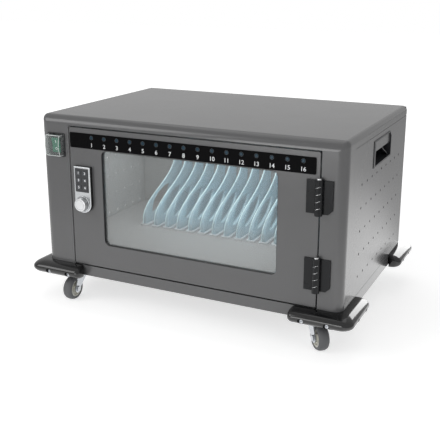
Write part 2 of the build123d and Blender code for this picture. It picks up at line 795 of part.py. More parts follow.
# Lock knob: turned knob whose spindle runs through the lock and the door.
knob_back = lock_front - knob_gap
with BuildPart() as lock_knob:
    rod_along_y(lock_x, (knob_back - knob_length, knob_back), knob_z, knob_radius)
    fillet(lock_knob.edges().group_by(Axis.Y)[0], knob_round)
    rod_along_y(lock_x, (knob_back, cam_front + cam_thickness), knob_z, spindle_radius)
keep("lock_knob", lock_knob.part)

# Lock cam: flat arm on the spindle's end. It hangs down when unlocked.
with BuildPart() as lock_cam:
    with BuildSketch(facing_front(cam_front)):
        with Locations((lock_x, knob_z)):
            Circle(cam_width / 2)
        with Locations((lock_x, knob_z - cam_length + cam_width / 2)):
            Circle(cam_width / 2)
        with Locations((lock_x, knob_z - (cam_length - cam_width / 2) / 2)):
            Rectangle(cam_width, cam_length - cam_width / 2)
        with Locations((lock_x, knob_z)):
            Circle(spindle_radius, mode=Mode.SUBTRACT)
    extrude(amount=-cam_thickness)
keep("lock_cam", lock_cam.part)

# Hinges: two leaves with interleaved knuckles on a loose pin. The frame's leaf has the odd knuckles.
barrel_height = leaf_height + 2 * knuckle_overhang
knuckle_pitch = barrel_height / knuckle_count
for hinge, height in hinge_heights.items():
    barrel_bottom = floor + height - barrel_height / 2
    leaf_bottom = floor + height - leaf_height / 2
    for leaf, toward, first_knuckle, pin_clearance in (("frame", 1, 0, 0), ("door", -1, 1, running_gap)):
        with BuildPart() as hinge_leaf:
            plate_near = hinge_x + toward * (knuckle_radius + knuckle_gap)
            plate_far = hinge_x + toward * leaf_width
            block((plate_near, plate_far), (front - leaf_thickness, front),
                  (leaf_bottom, leaf_bottom + leaf_height))
            corner_edge = hinge_leaf.edges().filter_by(Axis.Y).group_by(Axis.Z)[0].sort_by(Axis.X)
            if leaf == "frame":
                chamfer(corner_edge[-1], leaf_chamfer)
            for n in range(first_knuckle, knuckle_count, 2):
                low = barrel_bottom + n * knuckle_pitch + (knuckle_gap / 2 if n > 0 else 0)
                high = barrel_bottom + (n + 1) * knuckle_pitch
                high = high - (knuckle_gap / 2 if n < knuckle_count - 1 else 0)
                with Locations((hinge_x, hinge_y, (low + high) / 2)):
                    Cylinder(knuckle_radius, high - low)
                web_low = max(low, leaf_bottom)
                web_high = min(high, leaf_bottom + leaf_height)
                block((hinge_x, plate_near), (front - leaf_thickness, front), (web_low, web_high))
            with Locations((hinge_x, hinge_y, floor + height)):
                Cylinder(hinge_pin_radius + pin_clearance, 2 * barrel_height, mode=Mode.SUBTRACT)
        keep(f"hinge_{leaf}_leaf_{hinge}", hinge_leaf.part)
    with BuildPart() as hinge_pin:
        with Locations((hinge_x, hinge_y, floor + height)):
            Cylinder(hinge_pin_radius, barrel_height)
        head_z = floor + height + barrel_height / 2
        with Locations((hinge_x, hinge_y, head_z + pin_head_height / 2)):
            Cylinder(pin_head_radius, pin_head_height)
        fillet(hinge_pin.edges().group_by(Axis.Z)[-1], pin_head_height / 2)
    keep("hinge_pin_" + hinge, hinge_pin.part)

# Casters: a bolted plate with its bearing, a swivelling fork that carries the axle, and a wheel.
plate_bottom = floor - caster_plate_thickness
bearing_bottom = plate_bottom - bearing_height
fork_top = bearing_bottom - swivel_gap
fork_underside = fork_top - fork_thickness
leg_inside = wheel_width / 2 + wheel_gap
leg_outside = leg_inside + fork_thickness
for corner, (sx, sy) in corner_signs.items():
    swivel_x = sx * (right - caster_inset_x)
    swivel_y = sy * (back - caster_inset_y)
    heading = radians(caster_headings[corner])
    trail_dir = (cos(heading), sin(heading), 0)
    axle_dir = (sin(heading), -cos(heading), 0)
    axle_point = (swivel_x + caster_trail * cos(heading), swivel_y + caster_trail * sin(heading),
                  wheel_radius)
    # Looking along the axle: X is the way the wheel trails, Y is up.
    rolling = Plane(origin=(swivel_x, swivel_y, 0), x_dir=trail_dir, z_dir=axle_dir)
    at_axle = Plane(origin=axle_point, x_dir=trail_dir, z_dir=axle_dir)
    # Looking along the trail: X is the axle, Y is up.
    across = Plane(origin=axle_point, x_dir=axle_dir, z_dir=(-cos(heading), -sin(heading), 0))

    with BuildPart() as caster_plate:
        with BuildSketch(Plane.XY.offset(plate_bottom)):
            with Locations((swivel_x, swivel_y)):
                RectangleRounded(caster_plate_size, caster_plate_size, caster_plate_round)
        extrude(amount=caster_plate_thickness)
        with Locations((swivel_x, swivel_y, plate_bottom - bearing_height / 2)):
            Cylinder(bearing_radius, bearing_height)
        pin_bottom = fork_underside - swivel_gap
        with Locations((swivel_x, swivel_y, (plate_bottom + pin_bottom) / 2)):
            Cylinder(kingpin_radius, plate_bottom - pin_bottom)
        with Locations((swivel_x, swivel_y, pin_bottom - kingpin_head_height / 2)):
            Cylinder(kingpin_head_radius, kingpin_head_height)
    keep("caster_plate_" + corner, caster_plate.part)

    with BuildPart() as caster_fork:
        with BuildSketch(rolling):
            with BuildLine():
                Polyline((-fork_top_radius, fork_top), (fork_top_radius, fork_top),
                         (caster_trail + fork_toe_radius, wheel_radius),
                         (caster_trail - fork_toe_radius, wheel_radius), close=True)
            make_face()
            with Locations((caster_trail, wheel_radius)):
                Circle(fork_toe_radius)
        extrude(amount=leg_outside, both=True)
        with BuildSketch(rolling):
            with Locations((caster_trail / 2, fork_underside / 2)):
                Rectangle(2 * (caster_trail + fork_top_radius), fork_underside)
        extrude(amount=leg_inside, both=True, mode=Mode.SUBTRACT)
        with Locations((swivel_x, swivel_y, fork_top - fork_thickness / 2)):
            Cylinder(fork_top_radius, fork_thickness)
            Cylinder(kingpin_radius + running_gap, fork_thickness, mode=Mode.SUBTRACT)
        with BuildSketch(at_axle):
            Circle(axle_radius)
        extrude(amount=leg_outside, both=True)
        for end in (leg_outside, -leg_outside - axle_head_height):
            with BuildSketch(at_axle.offset(end)):
                RegularPolygon(axle_head_radius, 6)
            extrude(amount=axle_head_height)
    keep("caster_fork_" + corner, caster_fork.part)

    half_tyre = wheel_width / 2
    tyre_inner = wheel_radius - tyre_thickness
    with BuildPart() as wheel_tyre:
        with BuildSketch(across):
            with BuildLine():
                Polyline((half_tyre, tyre_inner), (half_tyre, wheel_radius - 2 * tread_crown),
                         (half_tyre * 0.85, wheel_radius - tread_crown),
                         (half_tyre * 0.55, wheel_radius - tread_crown / 4),
                         (half_tyre * 0.25, wheel_radius), (-half_tyre * 0.25, wheel_radius),
                         (-half_tyre * 0.55, wheel_radius - tread_crown / 4),
                         (-half_tyre * 0.85, wheel_radius - tread_crown),
                         (-half_tyre, wheel_radius - 2 * tread_crown), (-half_tyre, tyre_inner), close=True)
            make_face()
        revolve(axis=Axis(axle_point, axle_dir))
    keep("wheel_tyre_" + corner, wheel_tyre.part)

    with BuildPart() as wheel_hub:
        with BuildSketch(at_axle):
            Circle(tyre_inner)
        extrude(amount=hub_width / 2, both=True)
        for recess in (hub_web / 2, -hub_width / 2):
            with BuildSketch(at_axle.offset(recess)):
                Circle(tyre_inner - hub_rim)
                Circle(hub_boss_radius, mode=Mode.SUBTRACT)
            extrude(amount=(hub_width - hub_web) / 2, mode=Mode.SUBTRACT)
        with BuildSketch(at_axle):
            Circle(hub_boss_radius)
        extrude(amount=half_tyre + wheel_gap / 2, both=True)
        with BuildSketch(at_axle):
            Circle(axle_radius + running_gap)
        extrude(amount=wheel_width, both=True, mode=Mode.SUBTRACT)
    keep("wheel_hub_" + corner, wheel_hub.part)

os.makedirs("parts", exist_ok=True)
for name, part in nodes.items():
    export_step(part, f"parts/{name}.step")
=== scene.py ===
# Laptop charging cart: a powder-coated steel cabinet on four swivel casters. Its windowed door has a
# keypad lock and a strip of numbered lamps, and blue fins inside keep sixteen laptops upright.
# Lengths are metres unless a name ends in mm. X runs to the right, Y to the back and Z up.
import math

import bmesh
import bpy
from mathutils import Matrix, Vector


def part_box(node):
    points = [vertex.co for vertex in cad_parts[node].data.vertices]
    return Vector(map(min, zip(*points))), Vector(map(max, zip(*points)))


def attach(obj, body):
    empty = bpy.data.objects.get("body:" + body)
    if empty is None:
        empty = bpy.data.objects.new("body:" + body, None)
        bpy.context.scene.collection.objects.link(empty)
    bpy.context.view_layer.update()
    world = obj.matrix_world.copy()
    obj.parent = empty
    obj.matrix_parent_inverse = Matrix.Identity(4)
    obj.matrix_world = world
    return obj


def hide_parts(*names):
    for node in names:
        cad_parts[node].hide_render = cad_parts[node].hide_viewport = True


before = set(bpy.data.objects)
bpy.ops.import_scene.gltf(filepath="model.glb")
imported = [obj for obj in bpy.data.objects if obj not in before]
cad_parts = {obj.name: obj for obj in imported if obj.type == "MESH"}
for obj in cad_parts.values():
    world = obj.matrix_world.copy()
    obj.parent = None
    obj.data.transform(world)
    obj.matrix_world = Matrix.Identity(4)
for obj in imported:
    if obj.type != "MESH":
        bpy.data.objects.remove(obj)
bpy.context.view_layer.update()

scene = bpy.context.scene
MM = 0.001

# ---- Camera ----
# The camera stood to the right of the cart and above it, and the picture was cropped low.
# The place and the angles come from the cabinet's own edges in the photograph.
photo_side = 440
focal_pixels = 772.2
crop_drop_pixels = 26
camera_place = (0.699, -1.4745, 0.676)
camera_turn = math.radians(26.03)
camera_tilt = math.radians(15.77)

camera_data = bpy.data.cameras.new("camera")
camera_data.sensor_width = 36.0
camera_data.lens = camera_data.sensor_width * focal_pixels / photo_side
camera_data.shift_y = -crop_drop_pixels / photo_side
camera = bpy.data.objects.new("camera", camera_data)
camera.location = camera_place
camera.rotation_euler = (math.pi / 2 - camera_tilt, 0, camera_turn)
scene.collection.objects.link(camera)
scene.camera = camera

# ---- Helpers: shader nodes, meshes and finished pieces ----


def linear(hex_colour):
    """An sRGB hex colour as the linear RGBA that shaders take."""
    channels = [int(hex_colour[i:i + 2], 16) / 255 for i in (1, 3, 5)]
    return tuple(c / 12.92 if c <= 0.04045 else ((c + 0.055) / 1.055) ** 2.4 for c in channels) + (1.0,)


def add_node(tree, kind, inputs=None, **settings):
    """Adds one node. Inputs go by name or number, each a value or the socket that feeds it."""
    node = tree.nodes.new(kind)
    for name, value in settings.items():
        setattr(node, name, value)
    for key, value in (inputs or {}).items():
        if isinstance(value, bpy.types.NodeSocket):
            tree.links.new(value, node.inputs[key])
        else:
            node.inputs[key].default_value = value
    return node


def maths(tree, operation, *terms):
    """The result of one sum on numbers."""
    return add_node(tree, "ShaderNodeMath", dict(enumerate(terms)), operation=operation).outputs[0]


def vector_maths(tree, operation, *terms):
    """The result of one sum on vectors."""
    sums = add_node(tree, "ShaderNodeVectorMath", dict(enumerate(terms)), operation=operation).outputs
    return sums["Value"] if operation in ("LENGTH", "DOT_PRODUCT") else sums["Vector"]


def axes_of(tree, vector):
    """A vector's X, Y and Z."""
    return add_node(tree, "ShaderNodeSeparateXYZ", {0: vector}).outputs


def span(tree, value, results, values=(0.0, 1.0), smooth=False):
    """Maps a range of values to a range of results."""
    return add_node(tree, "ShaderNodeMapRange",
                    {"Value": value, "From Min": values[0], "From Max": values[1],
                     "To Min": results[0], "To Max": results[1]},
                    interpolation_type="SMOOTHSTEP" if smooth else "LINEAR").outputs[0]


def noise(tree, vector, scale, detail):
    """A cloudy pattern between 0 and 1."""
    return add_node(tree, "ShaderNodeTexNoise",
                    {"Vector": vector, "Scale": scale, "Detail": detail}).outputs["Fac"]


def blend(tree, share, first, second):
    """Mixes two colours."""
    return add_node(tree, "ShaderNodeMix", {0: share, 6: first, 7: second}, data_type="RGBA").outputs[2]


def shades(tree, share, colour, darker, lighter):
    """A colour that wanders between a darker and a lighter shade of itself."""
    base = Vector(linear(colour)[:3])
    return blend(tree, share, (*(base * darker), 1), (*(base * lighter), 1))


def relief(tree, height, strength, depth_mm):
    """The shading normal of a fine relief."""
    return add_node(tree, "ShaderNodeBump", {"Height": height, "Strength": strength,
                                             "Distance": depth_mm * MM}).outputs["Normal"]


def skin(tree, colour, roughness, normal, more=None):
    """The surface itself: its colour, gloss and relief."""
    return add_node(tree, "ShaderNodeBsdfPrincipled",
                    {"Base Color": colour, "Roughness": roughness, "Normal": normal,
                     **(more or {})}).outputs[0]


def new_material(name):
    """An empty material, its node tree and the place of each point on the object."""
    material = bpy.data.materials.new(name)
    material.use_nodes = True
    tree = material.node_tree
    tree.nodes.clear()
    return material, tree, add_node(tree, "ShaderNodeTexCoord").outputs


def shown(tree, shader):
    """Ends a material's tree with a shader."""
    add_node(tree, "ShaderNodeOutputMaterial", {"Surface": shader})


def mesh_of(name, bm):
    """Turns a bmesh into a mesh."""
    mesh = bpy.data.meshes.new(name)
    bm.to_mesh(mesh)
    bm.free()
    return mesh


def finish_piece(name, mesh, body=None):
    """Puts a finished mesh in the scene, riding on one body when one is given."""
    piece = bpy.data.objects.new(name, mesh)
    scene.collection.objects.link(piece)
    if body:
        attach(piece, body)
    return piece


def bmesh_piece(name, bm, material, body=None):
    """Turns a bmesh into a finished piece."""
    mesh = mesh_of(name, bm)
    mesh.materials.append(material)
    return finish_piece(name, mesh, body)


def bridge(bm, first, second):
    """Joins two rings of corners by a band of faces."""
    for n in range(len(first)):
        m = (n + 1) % len(first)
        bm.faces.new((first[n], first[m], second[m], second[n]))


def carve(blank_bm, cutter_bm, material):
    """The mesh that is left when one form is cut out of another."""
    blank = bpy.data.objects.new("blank", mesh_of("blank", blank_bm))
    cutter = bpy.data.objects.new("cutter", mesh_of("cutter", cutter_bm))
    for form in (blank, cutter):
        scene.collection.objects.link(form)
    cut = blank.modifiers.new("cut", "BOOLEAN")
    cut.object, cut.operation, cut.solver = cutter, "DIFFERENCE", "EXACT"
    graph = bpy.context.evaluated_depsgraph_get()
    carved = bpy.data.meshes.new_from_object(blank.evaluated_get(graph))
    for form in (blank, cutter):
        bpy.data.objects.remove(form)
    carved.materials.clear()
    carved.materials.append(material)
    return carved


def ray_kinds(tree):
    """Two switches: the eye's own rays, also those through clear sheets, and rays off shiny faces."""
    rays = add_node(tree, "ShaderNodeLightPath").outputs
    eye_rays = maths(tree, "MAXIMUM", rays["Is Camera Ray"], rays["Is Transmission Ray"])
    return eye_rays, rays["Is Glossy Ray"]


# ---- Studio: white paper, big soft lamps and a pale world ----
# The cart stands on white paper under soft lamps. The eye sees the paper as plain white further
# out, and it keeps a soft grey shadow under and beside the cabinet.
fade_distances, eye_levels, mirror_levels = (0.5, 1.5), (0.6, 0.8), (1.0, 0.3)
paper, tree, place = new_material("studio_paper")
distance = vector_maths(tree, "LENGTH", place["Object"])
eye_ray, mirror_ray = ray_kinds(tree)
eye_glow, mirror_glow = [
    maths(tree, "MULTIPLY", span(tree, distance, levels, fade_distances, smooth=True), ray)
    for levels, ray in ((eye_levels, eye_ray), (mirror_levels, mirror_ray))]

# Right of the cart the paper ends at one slanting line. The cabinet's side mirrors it as a bright
# lower front half and a darker upper rear half.
line_point, line_across = (0.395, 0.45, 0.0), (0.9285, -0.3714, 0.0)
line_softness, line_shares = (-0.045, 0.035), (0.25, 1.35)
beside_x = 0.345
from_line = vector_maths(tree, "SUBTRACT", place["Object"], line_point)
past_line = vector_maths(tree, "DOT_PRODUCT", from_line, line_across)
slant = span(tree, past_line, line_shares, line_softness, smooth=True)
beside = maths(tree, "GREATER_THAN", axes_of(tree, place["Object"])["X"], beside_x)
share = add_node(tree, "ShaderNodeMix", {0: beside, 2: 1.0, 3: slant}).outputs[0]
mirror_glow = maths(tree, "MULTIPLY", mirror_glow, share)
matte = add_node(tree, "ShaderNodeBsdfDiffuse", {"Color": linear("#e6e6e6")})
glow = add_node(tree, "ShaderNodeEmission", {"Color": (1, 1, 1, 1),
                                             "Strength": maths(tree, "MAXIMUM", eye_glow, mirror_glow)})
shown(tree, add_node(tree, "ShaderNodeAddShader", {0: matte.outputs[0], 1: glow.outputs[0]}).outputs[0])

floor_half = 8.0
bm = bmesh.new()
bmesh.ops.create_grid(bm, x_segments=1, y_segments=1, size=floor_half)
bmesh_piece("studio_floor", bm, paper)

# The world is plain white to the eye, pale to shiny faces and dimmer still as a light.
world_light, world_mirrored = 0.42, 0.46
world = bpy.data.worlds.new("studio_world")
world.use_nodes = True
tree = world.node_tree
tree.nodes.clear()
soft, white = [add_node(tree, "ShaderNodeBackground", {"Color": (1, 1, 1, 1), "Strength": strength})
               for strength in (world_light, 1.0)]
eye_ray, mirror_ray = ray_kinds(tree)
white_share = maths(tree, "MAXIMUM", eye_ray, maths(tree, "MULTIPLY", mirror_ray, world_mirrored))
mixed = add_node(tree, "ShaderNodeMixShader", {0: white_share, 1: soft.outputs[0], 2: white.outputs[0]})
add_node(tree, "ShaderNodeOutputWorld", {"Surface": mixed.outputs[0]})
scene.world = world

# Each lamp: where it hangs, where it points, the side of its square and its watts.
lamps = {
    "lamp_left": ((-2.2, -2.4, 2.0), (0.0, 0.0, 0.2), 1.6, 25.0),
    "lamp_low": ((-0.3, -2.2, 0.3), (0.0, -0.2, 0.1), 1.0, 13.0),
    "lamp_right": ((2.9, -1.0, 0.8), (0.33, 0.0, 0.15), 1.2, 13.0),
    "lamp_behind": ((0.46, 2.95, 1.03), (0.34, 0.0, 0.08), 1.9, 62.0),
    "lamp_above": ((-0.4, 0.9, 3.0), (0.0, 0.0, 0.4), 2.4, 12.0),
}
for name, (spot, aim, size, power) in lamps.items():
    lamp_data = bpy.data.lights.new(name, "AREA")
    lamp_data.size = size
    lamp_data.energy = power
    lamp = bpy.data.objects.new(name, lamp_data)
    lamp.location = spot
    lamp.rotation_euler = (Vector(aim) - Vector(spot)).to_track_quat("-Z", "Y").to_euler()
    lamp.visible_glossy = name != "lamp_right"
    scene.collection.objects.link(lamp)

scene.view_settings.view_transform = "Standard"

# ---- Cabinet: folded sheet steel with a dark grey powder coat ----
# Sprayed powder melts to a thick even skin with a faint orange peel. It is satin: seen along the
# sheet it mirrors the white floor and the black bumpers, and seen straight on it is a flat grey.
powder_grey = "#5c5c5d"
peel_mm = 1.4


def coat(material, *node_names):
    """Gives CAD nodes one material."""
    for name in node_names:
        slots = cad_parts[name].data.materials
        slots.clear()
        slots.append(material)


def powder_coat(name, colour, roughness, inside_colour=None, middle=None, hole_shade_colour=None,
                hole_wall_x=None):
    """Powder-coated steel: a fine orange peel and a slight clouding of its tone. The faces that look
    towards the middle can have a colour of their own, and the side holes' walls a dark painted shade."""
    inside_depth, sideways_lean = 0.05, 0.4
    material, tree, place = new_material(name)
    cloud = noise(tree, place["Object"], 9.0, 3.0)
    tone = shades(tree, cloud, colour, 0.95, 1.05)
    if inside_colour:
        outward = vector_maths(tree, "SUBTRACT", place["Object"], middle)
        outward = vector_maths(tree, "DOT_PRODUCT", outward, place["Normal"])
        inward = maths(tree, "LESS_THAN", outward, -inside_depth)
        tone = blend(tree, inward, tone, linear(inside_colour))
    # The walls of the side holes are painted near black: painted shade for the little light that
    # reaches in.
    if hole_shade_colour:
        spread = axes_of(tree, vector_maths(tree, "ABSOLUTE", place["Object"]))
        lean = axes_of(tree, vector_maths(tree, "ABSOLUTE", place["Normal"]))
        painted_hole_shade = maths(tree, "MULTIPLY", maths(tree, "GREATER_THAN", spread["X"], hole_wall_x),
                        maths(tree, "LESS_THAN", lean["X"], sideways_lean))
        tone = blend(tree, painted_hole_shade, tone, linear(hole_shade_colour))
    gloss = span(tree, cloud, (roughness - 0.03, roughness + 0.03))
    peel = relief(tree, noise(tree, place["Object"], 1 / (peel_mm * MM), 2.0), 0.10, 0.1)
    shown(tree, skin(tree, tone, gloss, peel, {"IOR": 1.5}))
    return material


cabinet_coat = powder_coat("powder_coat_dark_grey", powder_grey, 0.2)
# The shell's vent hole walls take a near-black painted shade.
shell_coat = powder_coat("powder_coat_two_tone_hole_shade", powder_grey, 0.2, inside_colour="#9fa0a0",
                         middle=(0, 0, 0.232), hole_shade_colour="#0c0c0d", hole_wall_x=0.3286)
coat(shell_coat, "outer_shell")
coat(cabinet_coat, "base_tray", "rear_panel")

# ---- Rear panel screws: zinc-plated pan-head screws round the back cover ----
# Sixteen cross-recess screws hold the cover to the shell's back flange. Bright plating, with fine
# streaks left by the bath.
zinc_white = "#b9bcc0"


def drawn_streaks(tree, place, streak_mm, streak_stretch):
    """A pattern of fine streaks, stretched by a number along each axis."""
    drawn = add_node(tree, "ShaderNodeMapping",
                     {"Vector": place["Object"],
                      "Scale": tuple(1 / (streak_mm * MM * s) for s in streak_stretch)})
    return noise(tree, drawn.outputs[0], 1.0, 3.0)


def plated_metal(name, colour, roughness, streak_mm, streak_stretch=(1.0, 1.0, 12.0),
                 bump_strength=0.08):
    """Metal with a plated, turned or brushed skin: streaks of gloss drawn out along one axis."""
    material, tree, place = new_material(name)
    streaks = drawn_streaks(tree, place, streak_mm, streak_stretch)
    shown(tree, skin(tree, shades(tree, streaks, colour, 0.88, 1.08),
                     span(tree, streaks, (roughness * 0.75, roughness * 1.25)),
                     relief(tree, streaks, bump_strength, 0.05), {"Metallic": 1.0}))
    return material


def shape_tree(name, inputs):
    """A Geometry Nodes tree with a Geometry input and named inputs, and its two end nodes."""
    tree = bpy.data.node_groups.new(name, "GeometryNodeTree")
    tree.interface.new_socket("Geometry", in_out="OUTPUT", socket_type="NodeSocketGeometry")
    tree.interface.new_socket("Geometry", in_out="INPUT", socket_type="NodeSocketGeometry")
    for label, kind in inputs.items():
        tree.interface.new_socket(label, in_out="INPUT", socket_type=kind)
    return tree, tree.nodes.new("NodeGroupInput").outputs, tree.nodes.new("NodeGroupOutput").inputs


def grow(name, tree, start, values, body):
    """Runs a tree on a starting mesh and keeps the result as one plain piece."""
    holder = bpy.data.objects.new(name + "_start", start)
    scene.collection.objects.link(holder)
    modifier = holder.modifiers.new("shape", "NODES")
    modifier.node_group = tree
    for item in tree.interface.items_tree:
        if item.in_out == "INPUT" and item.name in values:
            modifier[item.identifier] = values[item.name]
    graph = bpy.context.evaluated_depsgraph_get()
    mesh = bpy.data.meshes.new_from_object(holder.evaluated_get(graph))
    mesh.name = name
    bpy.data.objects.remove(holder)
    return finish_piece(name, mesh, body)


def spots_mesh(name, spots):
    """A mesh of loose points, each with the way that it faces."""
    mesh = bpy.data.meshes.new(name)
    mesh.from_pydata([spot for spot, facing in spots], [], [])
    facing_data = mesh.attributes.new("facing", "FLOAT_VECTOR", "POINT").data
    for datum, (spot, facing) in zip(facing_data, spots):
        datum.vector = facing
    return mesh


def on_points(tree, given, shape):
    """Sets a shape on every point and turns it to face the point's way."""
    facing = add_node(tree, "GeometryNodeInputNamedAttribute", {"Name": "facing"},
                      data_type="FLOAT_VECTOR")
    turn = add_node(tree, "FunctionNodeAlignRotationToVector", {"Vector": facing.outputs[0]}, axis="Z")
    shapes = add_node(tree, "GeometryNodeInstanceOnPoints",
                      {"Points": given["Geometry"], "Instance": shape, "Rotation": turn.outputs[0]})
    return add_node(tree, "GeometryNodeRealizeInstances", {0: shapes.outputs[0]}).outputs[0]


def end_tree(tree, given, result, shape):
    """Ends a tree with its shape in the given material."""
    dressed = add_node(tree, "GeometryNodeSetMaterial",
                       {"Geometry": shape, "Material": given["Material"]})
    tree.links.new(dressed.outputs[0], result[0])


# One domed head with a cross recess, set on every point and turned to face outwards. The dome falls
# to its edge by a share of the head's height, and each arm of the cross is a narrow bar.
dome_fall, dome_curve, arm_share = -0.6, 2.4, 0.28
tree, given, result = shape_tree("domed_screws", {
    "Head Radius": "NodeSocketFloat", "Head Height": "NodeSocketFloat", "Recess": "NodeSocketFloat",
    "Material": "NodeSocketMaterial"})
screw_tree, head_height, recess = tree, given["Head Height"], given["Recess"]
head = add_node(tree, "GeometryNodeMeshCylinder",
                {"Vertices": 20, "Fill Segments": 4, "Radius": given["Head Radius"],
                 "Depth": head_height})
axes = axes_of(tree, add_node(tree, "GeometryNodeInputPosition").outputs[0])
flat = add_node(tree, "ShaderNodeCombineXYZ", {0: axes[0], 1: axes[1]})
share = maths(tree, "DIVIDE", vector_maths(tree, "LENGTH", flat.outputs[0]), given["Head Radius"])
fall = maths(tree, "MULTIPLY", maths(tree, "POWER", share, dome_curve), dome_fall)
sunk = add_node(tree, "ShaderNodeCombineXYZ", {2: maths(tree, "MULTIPLY", fall, head_height)})
is_top = maths(tree, "GREATER_THAN", axes[2], 0.0)
domed = add_node(tree, "GeometryNodeSetPosition",
                 {"Geometry": head.outputs["Mesh"], "Selection": is_top, "Offset": sunk.outputs[0]})
narrow = maths(tree, "MULTIPLY", recess, arm_share)
half_up = add_node(tree, "ShaderNodeCombineXYZ", {2: maths(tree, "MULTIPLY", head_height, 0.5)})
head = domed.outputs[0]
for wide, deep in ((recess, narrow), (narrow, recess)):
    bar_size = add_node(tree, "ShaderNodeCombineXYZ", {0: wide, 1: deep, 2: head_height})
    bar = add_node(tree, "GeometryNodeMeshCube", {"Size": bar_size.outputs[0]})
    bar = add_node(tree, "GeometryNodeTransform",
                   {"Geometry": bar.outputs["Mesh"], "Translation": half_up.outputs[0]})
    head = add_node(tree, "GeometryNodeMeshBoolean", {"Mesh 1": head, "Mesh 2": bar.outputs[0]},
                    operation="DIFFERENCE").outputs[0]
seated = add_node(tree, "GeometryNodeTransform", {"Geometry": head, "Translation": half_up.outputs[0]})
end_tree(tree, given, result, on_points(tree, given, seated.outputs[0]))


def set_screws(name, spots, radius_mm, height_mm, recess_mm):
    """Zinc-plated screw heads on the cart, one on each spot."""
    return grow(name, screw_tree, spots_mesh(name + "_spots", spots),
                {"Head Radius": radius_mm * MM, "Head Height": height_mm * MM, "Recess": recess_mm * MM,
                 "Material": zinc_plate}, "cart")


zinc_plate = plated_metal("zinc_plated_steel", zinc_white, 0.28, 0.6)
low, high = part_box("rear_panel")
edge_inset, columns, rows = 9 * MM, 6, 4
across = [low[0] + edge_inset + (high[0] - low[0] - 2 * edge_inset) * n / (columns - 1)
          for n in range(columns)]
upward = [low[2] + edge_inset + (high[2] - low[2] - 2 * edge_inset) * n / (rows - 1)
          for n in range(rows)]
panel_places = [(x, z) for x in across for z in (upward[0], upward[-1])]
panel_places += [(x, z) for x in (across[0], across[-1]) for z in upward[1:-1]]
set_screws("rear_panel_screws", [((x, high[1], z), (0, 1, 0)) for x, z in panel_places],
           radius_mm=3.6, height_mm=2.0, recess_mm=4.0)

# ---- Inner deck and rear partition: light grey powder coat ----
# The laptops' floor and the wall behind them are steel sheets in a lighter, flatter grey, so that
# the inside looks bright through the window.
inner_coat = powder_coat("powder_coat_light_grey", "#929393", 0.5)
coat(inner_coat, "inner_deck", "rear_partition")

# A soft lamp under the roof stands in for the light that the studio's flashes threw inside.
inside_size, inside_watts, inside_place = (0.56, 0.28), 1.9, (0.0, -0.01, 0.362)
inside_data = bpy.data.lights.new("lamp_inside", "AREA")
inside_data.shape = "RECTANGLE"
inside_data.size, inside_data.size_y = inside_size
inside_data.energy = inside_watts
inside_lamp = bpy.data.objects.new("lamp_inside", inside_data)
inside_lamp.location = inside_place
inside_lamp.visible_camera = False
scene.collection.objects.link(inside_lamp)

# ---- Fins: translucent blue polycarbonate, moulded ----
# Seventeen upright fins keep the laptops apart. Their flat sides are a clear pale blue, and a
# paler, denser bead up each front edge and round each opening is a painted highlight.
fin_blue = "#c2e8f6"
fin_highlight_blue = "#dcf8fc"


def moulded(name, colour, roughness, grain_mm, bump_strength, alpha=1.0, clear_coat=0.0, shine=0.5):
    """Moulded plastic: the mould's fine grain, and a gloss that varies a little over it."""
    material, tree, place = new_material(name)
    flow = noise(tree, place["Object"], 24.0, 2.0)
    grain = noise(tree, place["Object"], 1 / (grain_mm * MM), 3.0)
    shown(tree, skin(tree, shades(tree, flow, colour, 0.92, 1.08),
                     span(tree, flow, (roughness * 0.85, roughness * 1.15)),
                     relief(tree, grain, bump_strength, 0.1),
                     {"IOR": 1.5, "Alpha": alpha, "Coat Weight": clear_coat, "Coat Roughness": 0.04,
                      "Specular IOR Level": shine}))
    return material


fin_plastic = moulded("polycarbonate_translucent_blue", fin_blue, 0.22, 1.0, 0.0, alpha=0.46)
# The beads' paler, denser blue is a painted highlight along the fins' edges.
fin_painted_highlight = moulded("polycarbonate_painted_highlight", fin_highlight_blue, 0.15, 1.0, 0.02, alpha=0.95)

# Each fin has one lens-shaped opening behind its front band, cut through all of them at once.
fin_pitch_mm, fin_count = 30.1, 17
weld_distance, cutter_past_mm = 1e-6, 5
lens_outline_mm = [(27, 138), (29, 150), (40, 167), (62, 180), (88, 188), (108, 190), (117, 186),
                   (110, 171), (94, 156), (72, 143), (50, 135), (34, 133)]
low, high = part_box("laptop_dividers")
solid_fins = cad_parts["laptop_dividers"].data
cutter_bm, fin_bm = bmesh.new(), bmesh.new()
caps = [[cutter_bm.verts.new((x, y * MM, z * MM)) for y, z in lens_outline_mm]
        for x in (low[0] - cutter_past_mm * MM, high[0] + cutter_past_mm * MM)]
bridge(cutter_bm, *caps)
for cap in caps:
    cutter_bm.faces.new(cap)
bmesh.ops.recalc_face_normals(cutter_bm, faces=cutter_bm.faces)
fin_bm.from_mesh(solid_fins)
bmesh.ops.remove_doubles(fin_bm, verts=fin_bm.verts, dist=weld_distance)
fins = finish_piece("laptop_fins", carve(fin_bm, cutter_bm, fin_plastic), "cart")
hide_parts("laptop_dividers")

